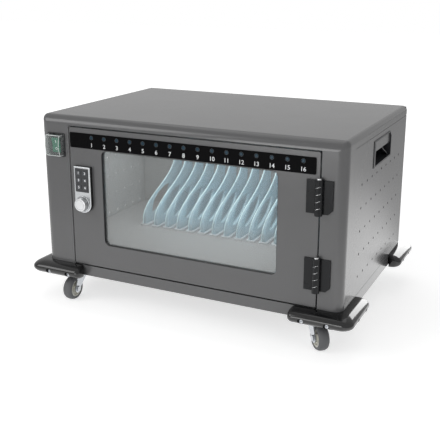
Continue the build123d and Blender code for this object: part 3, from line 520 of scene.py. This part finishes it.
# A rounded bead runs up each fin's front edge and a thinner one round its opening: painted highlights.
bead_tree, given, result = shape_tree("edge_beads", {
    "Proud": "NodeSocketFloat", "Material": "NodeSocketMaterial"})
path = add_node(bead_tree, "GeometryNodeMeshToCurve", {"Mesh": given["Geometry"]})
path = add_node(bead_tree, "GeometryNodeSetCurveNormal", {"Curve": path.outputs[0]}, mode="Z_UP")
half_width = add_node(bead_tree, "GeometryNodeInputNamedAttribute", {"Name": "half_width"},
                      data_type="FLOAT")
outline = add_node(bead_tree, "GeometryNodeCurvePrimitiveCircle", {"Resolution": 12, "Radius": 1.0},
                   mode="RADIUS")
squash = add_node(bead_tree, "ShaderNodeCombineXYZ", {0: 1.0, 1: given["Proud"], 2: 1.0})
outline = add_node(bead_tree, "GeometryNodeTransform",
                   {"Geometry": outline.outputs["Curve"], "Scale": squash.outputs[0]})
bead = add_node(bead_tree, "GeometryNodeCurveToMesh",
                {"Curve": path.outputs[0], "Profile Curve": outline.outputs[0],
                 "Scale": half_width.outputs[0], "Fill Caps": True})
end_tree(bead_tree, given, result, bead.outputs[0])


def lay_beads(name, points, lines, half_widths, material, proud=1.0):
    """Rounded beads along lines on the cart, each as wide as its points say."""
    mesh = bpy.data.meshes.new(name + "_lines")
    mesh.from_pydata(points, lines, [])
    mesh.attributes.new("half_width", "FLOAT", "POINT").data.foreach_set("value", half_widths)
    grow(name, bead_tree, mesh, {"Proud": proud, "Material": material}, "cart")


# The front edge's path is read from the first fin's own outline. A fin's foot is thicker than its
# top, and the bead follows its left side.
foot_half_mm, top_half_mm, taper_mm = 5.0, 2.0, 75.0
bead_half_mm, rim_half_mm = 1.1, 0.5
first_fin_x, first_fin_half = low[0] + foot_half_mm * MM, 1.1 * foot_half_mm * MM
front_edge = {}
for corner in solid_fins.vertices:
    x, y, z = corner.co
    if abs(x - first_fin_x) < first_fin_half:
        level = round(z / MM, 1)
        front_edge[level] = min(front_edge.get(level, y), y)
points, lines, widths = [], [], []
for n in range(fin_count):
    fin_x = first_fin_x + n * fin_pitch_mm * MM
    for index, level in enumerate(sorted(front_edge)):
        rise = min(1.0, (level * MM - low[2]) / (taper_mm * MM))
        if index:
            lines.append((len(points) - 1, len(points)))
        side = (foot_half_mm + (top_half_mm - foot_half_mm) * rise - bead_half_mm) * MM
        points.append((fin_x - side, front_edge[level], level * MM))
        widths.append(bead_half_mm * MM)
    first = len(points)
    for index, (y_mm, z_mm) in enumerate(lens_outline_mm):
        lines.append((first + index, first + (index + 1) % len(lens_outline_mm)))
        points.append((fin_x, y_mm * MM, z_mm * MM))
        widths.append(rim_half_mm * MM)
lay_beads("fin_highlight_beads", points, lines, widths, fin_painted_highlight, proud=0.8)

# ---- Foot pads: pale moulded nylon strips ----
# One strip under each fin takes its foot and is screwed to the deck. Waxy, slightly milky.
foot_nylon = moulded("nylon_pale", "#c9cdd0", 0.45, 0.8, 0.06)
coat(foot_nylon, "divider_feet")

# ---- Charger and mains inlet: black moulded plastic, nickel-plated blades ----
# The charger hangs behind the partition and the inlet goes through the rear panel. The box has a
# coarse matt spark grain, and the inlet is smooth and a little glossy.
charger_abs = moulded("abs_black_spark_grain", "#1c1c1e", 0.55, 0.7, 0.3)
inlet_abs = moulded("pbt_black_smooth", "#131314", 0.3, 0.8, 0.05)
blade_nickel = plated_metal("nickel_plated_brass", "#c9bf9f", 0.25, 0.5)
coat(charger_abs, "power_supply")
coat(inlet_abs, "mains_inlet")
coat(blade_nickel, "inlet_blades")

# ---- Power switch: black bezel, green rocker and a clear splash cover ----
# A gloss black bezel is snapped into the front frame. Behind the clear moulded cover sits a green
# rocker, printed in white with a line for on and a ring for off.
switch_black = moulded("polycarbonate_black_gloss", "#1b1c1e", 0.16, 1.2, 0.03)
rocker_green = moulded("nylon_green", "#0d6248", 0.4, 0.8, 0.05, shine=0.3)
clear_cover = moulded("polycarbonate_clear", "#dfe9e6", 0.05, 1.2, 0.02, alpha=0.07)
white_ink = moulded("screen_ink_white", "#eceef0", 0.5, 0.6, 0.04)
coat(switch_black, "switch_housing")
coat(rocker_green, "switch_rocker")
coat(clear_cover, "switch_cover")

# The rocker's two facets meet in a shallow V, and each mark stands a little proud of its facet.
low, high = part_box("switch_rocker")
low_face, high_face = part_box("switch_housing")
rocker_tip, rocker_axis_y = math.radians(7.0), -0.213
rocker_half_mm, facet_high_mm, facet_low_mm = 15.0, 8.0, 6.25
ink_mm, ring_radius_mm, ring_bore_share, bar_half_mm = 0.15, 2.6, 0.68, (0.6, 2.8)
rocker_axis = Vector(((low[0] + high[0]) / 2, rocker_axis_y, (low_face[2] + high_face[2]) / 2))
across_way = Vector((1, 0, 0))
out_way = Vector((0, -math.cos(rocker_tip), -math.sin(rocker_tip)))
up_way = Vector((0, -math.sin(rocker_tip), math.cos(rocker_tip)))
facet_lean = math.atan2(facet_high_mm - facet_low_mm, rocker_half_mm)
ring_outer = [(ring_radius_mm * MM * math.cos(math.tau * n / 32),
               ring_radius_mm * MM * math.sin(math.tau * n / 32)) for n in range(32)]
ring_outlines = [ring_outer, [(x * ring_bore_share, y * ring_bore_share) for x, y in ring_outer]]
bar_outlines = [[(x * bar_half_mm[0] * MM, y * bar_half_mm[1] * MM)
                 for x, y in ((-1, -1), (1, -1), (1, 1), (-1, 1))]]
bm = bmesh.new()
for side, outlines in ((1, bar_outlines), (-1, ring_outlines)):
    middle = rocker_axis + side * up_way * (rocker_half_mm / 2) * MM
    middle += out_way * ((facet_high_mm + facet_low_mm) / 2) * MM
    along = (side * up_way * math.cos(facet_lean) + out_way * math.sin(facet_lean)).normalized()
    normal = across_way.cross(along)
    turn = Matrix((across_way, along, normal)).transposed().to_4x4()
    normal = normal if normal.dot(out_way) > 0 else -normal
    seat = Matrix.Translation(middle + normal * ink_mm * MM) @ turn
    rings = [[bm.verts.new(seat @ Vector((x, y, depth))) for x, y in outline]
             for depth in (-ink_mm * MM, 0) for outline in outlines]
    if len(rings) == 2:
        bm.faces.new(rings[0])
        bm.faces.new(rings[1])
        bridge(bm, *rings)
    else:
        for a, b in ((0, 1), (1, 3), (3, 2), (2, 0)):
            bridge(bm, rings[a], rings[b])
bmesh.ops.recalc_face_normals(bm, faces=bm.faces)
bmesh_piece("rocker_marks", bm, white_ink, "power_rocker")

# The cover's front bulges in an arc, and near-white beads along its rounded edges are painted
# highlights.
cover_painted_glint = moulded("polycarbonate_painted_glint", "#f3f7f6", 0.2, 1.2, 0.0, alpha=0.85)
low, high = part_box("switch_cover")
bulge_mm, arc_steps, edge_inset_mm, edge_half_mm = 4.5, 16, 0.9, 0.55
inset = edge_inset_mm * MM
points, lines = [], []
for x in (low[0] + inset, high[0] - inset):
    first = len(points)
    for n in range(arc_steps + 1):
        part = 2 * n / arc_steps - 1
        z = (low[2] + high[2]) / 2 + part * ((high[2] - low[2]) / 2 - inset)
        points.append((x, low[1] + bulge_mm * MM * part ** 2 + inset / 2, z))
        if n:
            lines.append((first + n - 1, first + n))
    for end in (first, first + arc_steps):
        points.append((x, high[1] - inset, points[end][2]))
        lines.append((end, len(points) - 1))
per_side = len(points) // 2
lines += [(0, per_side), (arc_steps, per_side + arc_steps)]
lay_beads("switch_cover_painted_glints", points, lines, [edge_half_mm * MM] * len(points), cover_painted_glint)

# ---- Carry handles: black moulded cup, powder-coated steel grip ----
# The cup is pushed into a cut-out of the side wall and its rim hides the cut edge. A steel plate
# across its upper half takes the load, so fingers reach in under it.
handle_black = moulded("abs_black_satin", "#222326", 0.38, 0.9, 0.15)
coat(handle_black, "handle_cup_left", "handle_cup_right")
coat(cabinet_coat, "handle_grip_left", "handle_grip_right")

# ---- Corner bumpers: glossy black moulded PVC, with zinc-plated screws ----
# Guards with a D-shaped section are screwed round each lower corner, and their ends are rounded
# off. They are as shiny as wet paint and mirror the lamps and the floor.
bumper_pvc = moulded("pvc_black_gloss", "#161617", 0.12, 4.0, 0.03, clear_coat=0.1)
corners = {"front_left": (-1, -1), "front_right": (1, -1), "rear_left": (-1, 1), "rear_right": (1, 1)}
wall_x_mm, wall_y_mm = 330.0, 217.5
guard_reach_mm, guard_low_mm, guard_high_mm, guard_arm_mm = 29.0, 56.0, 85.0, 126.0
guard_outer_round_mm, guard_end_round_mm, guard_lap_mm, guard_flat_mm = 20.0, 10.0, 0.5, 5.0
guard_screws_mm, guard_screw_level_mm, screw_seat_mm, bore_radius_mm = (48.0, 97.0), 66.5, 22.0, 6.0
wall_corner_mm = {-1: 17.5, 1: 0.6}

nose_mm = (guard_high_mm - guard_low_mm) / 2
guard_middle_mm = (guard_high_mm + guard_low_mm) / 2
d_outline = [(guard_lap_mm, -nose_mm), (guard_lap_mm, nose_mm)]
d_outline += [(guard_flat_mm + (guard_reach_mm - guard_flat_mm) * math.sin(math.pi * n / 20),
               nose_mm * math.cos(math.pi * n / 20)) for n in range(21)]
d_middle = (guard_reach_mm / 2, 0.0)


def guard_station(outline, wall_round, along, turn):
    """Where the section stands: on one arm, round the corner by an angle, or on the other arm."""
    ring = []
    for out, up in outline:
        radius = wall_round + (guard_outer_round_mm - wall_round) * out / guard_reach_mm
        centre = (wall_x_mm + out - radius, wall_y_mm + out - radius)
        x, y = centre[0] + radius * math.sin(turn), centre[1] + radius * math.cos(turn)
        if along is not None and turn == 0:
            x = wall_x_mm + guard_reach_mm - guard_arm_mm + along
        elif along is not None:
            y = wall_y_mm + guard_reach_mm - guard_arm_mm + along
        ring.append((x, y, guard_middle_mm + up))
    return ring


def screw_place(corner, arm, from_corner, out):
    """A point on the axis of one of a guard's screws, so far out from the wall."""
    side_x, side_y = corners[corner]
    x, y = wall_x_mm + guard_reach_mm - from_corner, wall_y_mm + guard_reach_mm - from_corner
    x, y = (x, wall_y_mm + out) if arm == "front" else (wall_x_mm + out, y)
    return side_x * x * MM, side_y * y * MM, guard_screw_level_mm * MM


end_steps, corner_steps, bore_past_mm, sharp_angle = 5, 10, 4, math.radians(35)
bore_depth = guard_reach_mm - screw_seat_mm + bore_past_mm
ends = []
for n in range(end_steps + 1):
    lean = math.pi / 2 * n / end_steps
    shrink = 1 - guard_end_round_mm * (1 - math.sin(lean)) / nose_mm
    outline = [(d_middle[0] + (out - d_middle[0]) * shrink, up * shrink) for out, up in d_outline]
    ends.append((outline, guard_end_round_mm * (1 - math.cos(lean))))
guard_spots = []

# The lamp behind lights the guards alone, for the white glints along their side arms.
only_guards = bpy.data.collections.new("lamp_behind_receivers")
bpy.data.objects["lamp_behind"].light_linking.receiver_collection = only_guards

for corner, (side_x, side_y) in corners.items():
    wall_round = wall_corner_mm[side_y]
    stations = [guard_station(outline, wall_round, along, 0) for outline, along in ends]
    stations += [guard_station(d_outline, wall_round, None, math.pi / 2 * n / corner_steps)
                 for n in range(corner_steps + 1)]
    stations += [guard_station(outline, wall_round, along, math.pi / 2)
                 for outline, along in ends[::-1]]
    bm = bmesh.new()
    rings = [[bm.verts.new((side_x * x * MM, side_y * y * MM, z * MM)) for x, y, z in ring]
             for ring in stations]
    for ring, following in zip(rings, rings[1:]):
        bridge(bm, ring, following)
    bm.faces.new(rings[0])
    bm.faces.new(rings[-1])
    bmesh.ops.recalc_face_normals(bm, faces=bm.faces)

    # Four counterbores are cut for the screws, two in each arm.
    bores = bmesh.new()
    for from_corner in guard_screws_mm:
        for arm, axis, facing in (("front", "X", (0, side_y, 0)), ("side", "Y", (side_x, 0, 0))):
            middle = screw_place(corner, arm, from_corner, screw_seat_mm + bore_depth / 2)
            seat = Matrix.Translation(middle) @ Matrix.Rotation(math.pi / 2, 4, axis)
            bmesh.ops.create_cone(bores, cap_ends=True, segments=28, radius1=bore_radius_mm * MM,
                                  radius2=bore_radius_mm * MM, depth=bore_depth * MM, matrix=seat)
            guard_spots.append((screw_place(corner, arm, from_corner, screw_seat_mm), facing))
    finished = carve(bm, bores, bumper_pvc)
    finished.set_sharp_from_angle(angle=sharp_angle)
    for face in finished.polygons:
        face.use_smooth = True
    guard = finish_piece("corner_guard_" + corner, finished, "cart")
    only_guards.objects.link(guard)
    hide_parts("bumper_" + corner)

guard_heads = set_screws("bumper_screw_heads", guard_spots,
                         radius_mm=5.0, height_mm=3.6, recess_mm=5.4)
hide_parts("bumper_screws")

# ---- Door: folded steel pan, black window lining, smoked acrylic window ----
# The pan has the cabinet's own powder coat. A black lining covers the window cut-out's return,
# and the tinted sheet behind it is clamped by a steel frame.
coat(cabinet_coat, "door_panel", "window_frame")


def smoked_sheet(name, milk_colour, clearness, tint):
    """Tinted clear sheet: it lets light through, keeps a little haze and mirrors at its face."""
    material, tree, place = new_material(name)
    wave = noise(tree, place["Object"], 7.0, 2.0)
    haze = skin(tree, shades(tree, wave, milk_colour, 0.94, 1.06), 0.06, relief(tree, wave, 0.05, 0.2),
                {"IOR": 1.49})
    through = add_node(tree, "ShaderNodeBsdfTransparent", {"Color": linear(tint)})
    mixed = add_node(tree, "ShaderNodeMixShader", {0: clearness, 1: haze, 2: through.outputs[0]})
    shown(tree, mixed.outputs[0])
    return material


pane_acrylic = smoked_sheet("acrylic_smoked_clear", "#aeb0af", clearness=0.77, tint="#eceded")
coat(pane_acrylic, "window_pane")

window_lining_black = moulded("black_window_lining", "#0e0e0f", 0.6, 0.5, 0.12)
tree, given, result = shape_tree("window_return_lining", {
    "Width": "NodeSocketFloat", "Height": "NodeSocketFloat", "Corner": "NodeSocketFloat",
    "Lip": "NodeSocketFloat", "Depth": "NodeSocketFloat", "Middle": "NodeSocketVector",
    "Material": "NodeSocketMaterial"})
return_lining_tree = tree
path = add_node(tree, "GeometryNodeCurvePrimitiveQuadrilateral",
                {"Width": given["Width"], "Height": given["Height"]}, mode="RECTANGLE")
path = add_node(tree, "GeometryNodeFilletCurve",
                {"Curve": path.outputs[0], "Radius": given["Corner"], "Count": 8}, mode="POLY")
path = add_node(tree, "GeometryNodeSetCurveNormal", {"Curve": path.outputs[0]}, mode="Z_UP")
outline = add_node(tree, "GeometryNodeCurvePrimitiveQuadrilateral",
                   {"Width": given["Lip"], "Height": given["Depth"]}, mode="RECTANGLE")
outline = add_node(tree, "GeometryNodeFilletCurve",
                   {"Curve": outline.outputs[0], "Radius": maths(tree, "MULTIPLY", given["Lip"], 0.45),
                    "Count": 3}, mode="POLY")
channel = add_node(tree, "GeometryNodeCurveToMesh",
                   {"Curve": path.outputs[0], "Profile Curve": outline.outputs[0]})
upright = add_node(tree, "GeometryNodeTransform",
                   {"Geometry": channel.outputs[0], "Translation": given["Middle"],
                    "Rotation": (math.pi / 2, 0, 0)})
end_tree(tree, given, result, upright.outputs[0])

window_x_mm, window_z_mm = (-181.0, 202.0), (137.0, 338.0)
window_corner_mm, lip_mm, lining_front_mm, lining_back_mm = 12.0, 0.9, -217.5, -211.5
grow("window_return_lining", return_lining_tree, bpy.data.meshes.new("lining_start"),
     {"Width": (window_x_mm[1] - window_x_mm[0] - lip_mm) * MM,
      "Height": (window_z_mm[1] - window_z_mm[0] - lip_mm) * MM,
      "Corner": (window_corner_mm - lip_mm / 2) * MM, "Lip": lip_mm * MM,
      "Depth": (lining_back_mm - lining_front_mm) * MM,
      "Middle": (sum(window_x_mm) / 2 * MM, (lining_front_mm + lining_back_mm) / 2 * MM,
                 sum(window_z_mm) / 2 * MM),
      "Material": window_lining_black}, "door")

# ---- Lamp strip: black polyester overlay, white numerals, tinted lamps ----
# The overlay is printed from behind and stuck to the door. Each bay has a number and a lamp over
# it, unlit: a dark blue-grey lens in a thin ring.
overlay_black = moulded("polyester_overlay_black", "#060607", 0.5, 0.7, 0.08, shine=0.04)
lens_tint = moulded("epoxy_lens_blue_grey", "#173240", 0.2, 1.0, 0.02, shine=0.3)
lens_ring = moulded("polyamide_ring_dark", "#24292d", 0.35, 0.8, 0.05)
coat(overlay_black, "led_strip")
coat(lens_tint, "led_lenses")


def print_marks(name, marks, face_y, body, size_mm, rise_mm, bold_mm):
    """White lettering that stands on an upright face and reads from the front."""
    bm = bmesh.new()
    for words, middle_x, middle_z in marks:
        curve = bpy.data.curves.new(name + "_line", "FONT")
        curve.body = words
        curve.size = size_mm * MM
        curve.align_x, curve.align_y = "CENTER", "CENTER"
        curve.offset = bold_mm * MM
        curve.extrude = rise_mm * MM / 2
        curve.resolution_u = 4
        line = bpy.data.objects.new(name + "_line", curve)
        scene.collection.objects.link(line)
        graph = bpy.context.evaluated_depsgraph_get()
        mesh = bpy.data.meshes.new_from_object(line.evaluated_get(graph))
        seat = Matrix.Translation((middle_x, face_y - rise_mm * MM / 2, middle_z))
        mesh.transform(seat @ Matrix.Rotation(math.pi / 2, 4, "X"))
        bm.from_mesh(mesh)
        bpy.data.objects.remove(line)
        bpy.data.meshes.remove(mesh)
    bmesh.ops.remove_doubles(bm, verts=bm.verts, dist=weld_distance)
    bmesh_piece(name, bm, white_ink, body)


low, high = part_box("led_strip")
strip_face = low[1]
lens_low, lens_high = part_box("led_lenses")
lens_radius = (lens_high[2] - lens_low[2]) / 2
first_lamp_x = lens_low[0] + lens_radius
lamp_level = (lens_low[2] + lens_high[2]) / 2
lamp_count = 16
lamp_places = [first_lamp_x + n * fin_pitch_mm * MM for n in range(lamp_count)]
numeral_level = 347.0 * MM
print_marks("bay_numerals", [(str(n + 1), x, numeral_level) for n, x in enumerate(lamp_places)],
            strip_face, "door", size_mm=11.6, rise_mm=0.12, bold_mm=0.05)

# A thin ring round each lens: one ring is made, then set on every lamp's place.
tree, given, result = shape_tree("thin_rings", {
    "Ring Radius": "NodeSocketFloat", "Wire": "NodeSocketFloat", "Material": "NodeSocketMaterial"})
ring_tree = tree
ring_path = add_node(tree, "GeometryNodeCurvePrimitiveCircle",
                     {"Resolution": 32, "Radius": given["Ring Radius"]}, mode="RADIUS")
wire = add_node(tree, "GeometryNodeCurvePrimitiveCircle",
                {"Resolution": 8, "Radius": given["Wire"]}, mode="RADIUS")
ring = add_node(tree, "GeometryNodeCurveToMesh",
                {"Curve": ring_path.outputs["Curve"], "Profile Curve": wire.outputs["Curve"]})
end_tree(tree, given, result, on_points(tree, given, ring.outputs[0]))
ring_gap_mm, ring_wire_mm = 0.5, 0.35
ring_spots = [((x, strip_face, lamp_level), (0, -1, 0)) for x in lamp_places]
grow("lens_rings", ring_tree, spots_mesh("lens_spots", ring_spots),
     {"Ring Radius": lens_radius + ring_gap_mm * MM, "Wire": ring_wire_mm * MM,
      "Material": lens_ring}, "door")

# ---- Lamp board: fibreglass board with green solder mask ----
# It is screwed behind the overlay, inside the door, and only shows with the door open.
board_green = moulded("solder_mask_green", "#1f4a35", 0.35, 0.5, 0.1)
coat(board_green, "led_board")

# ---- Keypad lock: satin-chromed zinc casting, black keypad, six keys and a knob ----
# The casting's rim and rounded lower end are bright satin chrome. The keypad is an inlay of matt
# black plastic, and each key carries a white numeral.
satin_streaks, satin_bumps = (0.5, (1.0, 1.0, 10.0)), 0.06
satin_chrome = plated_metal("satin_chrome", "#b6b8ba", 0.24, *satin_streaks, satin_bumps)
knob_chrome = plated_metal("turned_satin_chrome", "#cfd0d1", 0.34, 0.35, (1.0, 1.0, 1.0), 0.05)
keypad_black = moulded("abs_matt_black", "#2a2b2e", 0.5, 0.6, 0.15)
key_black = moulded("keycap_dark_grey", "#3b3d41", 0.4, 0.6, 0.12)

# The casting's back half is black, partly its dark base and partly painted shade for the shadow
# along the lock's side, so only its rim and face are chromed.
chrome_back_mm = -224.6
body_finish, tree, place = new_material("satin_chrome_black_base_and_shade")
black_back_and_shade = maths(tree, "GREATER_THAN", axes_of(tree, place["Object"])["Y"], chrome_back_mm * MM)
streaks = drawn_streaks(tree, place, *satin_streaks)
gloss, brushed = span(tree, streaks, (0.16, 0.3)), relief(tree, streaks, satin_bumps, 0.05)
chrome = skin(tree, linear("#b9bbbd"), gloss, brushed, {"Metallic": 1.0})
casting = skin(tree, linear("#141415"), gloss, brushed)
shown(tree, add_node(tree, "ShaderNodeMixShader", {0: black_back_and_shade, 1: chrome, 2: casting}).outputs[0])
coat(body_finish, "lock_body")
coat(knob_chrome, "lock_knob")
coat(keypad_black, "keypad_plate")
coat(zinc_plate, "lock_cam")
for number in range(1, 7):
    key = f"lock_key_{number}"
    coat(key_black, key)
    low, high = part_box(key)
    mark = (str(number), (low[0] + high[0]) / 2, (low[2] + high[2]) / 2)
    print_marks(f"key_numeral_{number}", [mark], low[1], f"key_{number}",
                size_mm=7.5, rise_mm=0.1, bold_mm=0.14)


def turned(name, outline_mm, front, body):
    """A chromed ring, turned about the knob's axis. Its outline gives radius and distance forward
    of the front."""
    bm = bmesh.new()
    steps = 64
    centre = Vector((knob_centre_x, front, knob_centre_z))
    loops = []
    for radius, forward in [(r * MM, d * MM) for r, d in outline_mm]:
        loops.append([bm.verts.new(centre + Vector((radius * math.cos(math.tau * n / steps), -forward,
                                                    radius * math.sin(math.tau * n / steps))))
                      for n in range(steps)])
    for a, b in zip(loops, loops[1:] + loops[:1]):
        bridge(bm, a, b)
    bmesh.ops.recalc_face_normals(bm, faces=bm.faces)
    for face in bm.faces:
        face.smooth = True
    bmesh_piece(name, bm, satin_chrome, body)


# The knob stands in a low round collar, and a thin raised ring runs round the knob's face.
low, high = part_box("lock_body")
knob_low, knob_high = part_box("lock_knob")
knob_centre_x, knob_centre_z = (knob_low[0] + knob_high[0]) / 2, 223.75 * MM
turned("knob_collar", [(14.6, 0.0), (14.6, 1.3), (15.2, 1.9), (16.2, 1.9), (16.9, 1.2), (16.9, 0.0)],
       low[1], "door")
turned("knob_face_ring", [(9.6, -0.2), (9.6, 0.15), (10.0, 0.35), (10.4, 0.15), (10.4, -0.2)],
       knob_low[1], "lock_knob")

# ---- Hinges: black e-coated steel leaves, bright steel pins ----
# Two leaves with interleaved knuckles turn on a loose pin. The dip coat is thin, so the knuckles
# stay crisp, and the bare pin head shines. The glints across the knuckles are painted highlights.
hinge_black = moulded("e_coat_black_satin", "#17181a", 0.28, 1.0, 0.05, shine=0.2)
pin_steel = plated_metal("bright_steel", "#d9dadb", 0.2, 0.5)
for height in ("upper", "lower"):
    coat(hinge_black, "hinge_frame_leaf_" + height, "hinge_door_leaf_" + height)
    coat(pin_steel, "hinge_pin_" + height)

# Thin slanted rings of bright steel sit at the knuckles' joints: painted highlights that stand in for
# diagonal glints.
hinge_axis_mm, knuckle_radius_mm, knuckle_pitch_mm, glint_wire_mm = (282.0, -224.7), 7.2, 13.2, 0.3
hinge_middles_mm, joint_steps, joint_slant = (300.0, 153.0), (-1.5, -0.5, 0.5, 1.5), (-0.4, 0.0, 1.0)
joint_spots = [((hinge_axis_mm[0] * MM, hinge_axis_mm[1] * MM, (middle + step * knuckle_pitch_mm) * MM),
                joint_slant) for middle in hinge_middles_mm for step in joint_steps]
grow("hinge_painted_glints", ring_tree, spots_mesh("hinge_spots", joint_spots),
     {"Ring Radius": knuckle_radius_mm * MM, "Wire": glint_wire_mm * MM, "Material": pin_steel},
     "cart")

# ---- Casters: zinc-plated pressed steel, off-white hub, grey rubber tyre ----
# Each plate is bolted up under a corner, and the fork swivels under it. The tyre is soft grey
# rubber, matt with a slight bloom, on a moulded polypropylene hub.
tyre_rubber = moulded("thermoplastic_rubber_grey", "#5c5d5f", 0.62, 0.8, 0.18)
hub_polypropylene = moulded("polypropylene_off_white", "#e2e1d8", 0.42, 0.9, 0.06)
for corner in corners:
    coat(zinc_plate, "caster_plate_" + corner, "caster_fork_" + corner)
    coat(tyre_rubber, "wheel_tyre_" + corner)
    coat(hub_polypropylene, "wheel_hub_" + corner)

swivel_x_mm, swivel_y_mm, bolt_half_mm, plate_underside_mm = 272.0, 189.5, 20.5, 59.5
bolt_spots = [((sx * (swivel_x_mm + bx * bolt_half_mm) * MM,
                sy * (swivel_y_mm + by * bolt_half_mm) * MM, plate_underside_mm * MM), (0, 0, -1))
              for sx in (-1, 1) for sy in (-1, 1) for bx in (-1, 1) for by in (-1, 1)]
set_screws("caster_bolts", bolt_spots, radius_mm=3.8, height_mm=2.6, recess_mm=4.2)
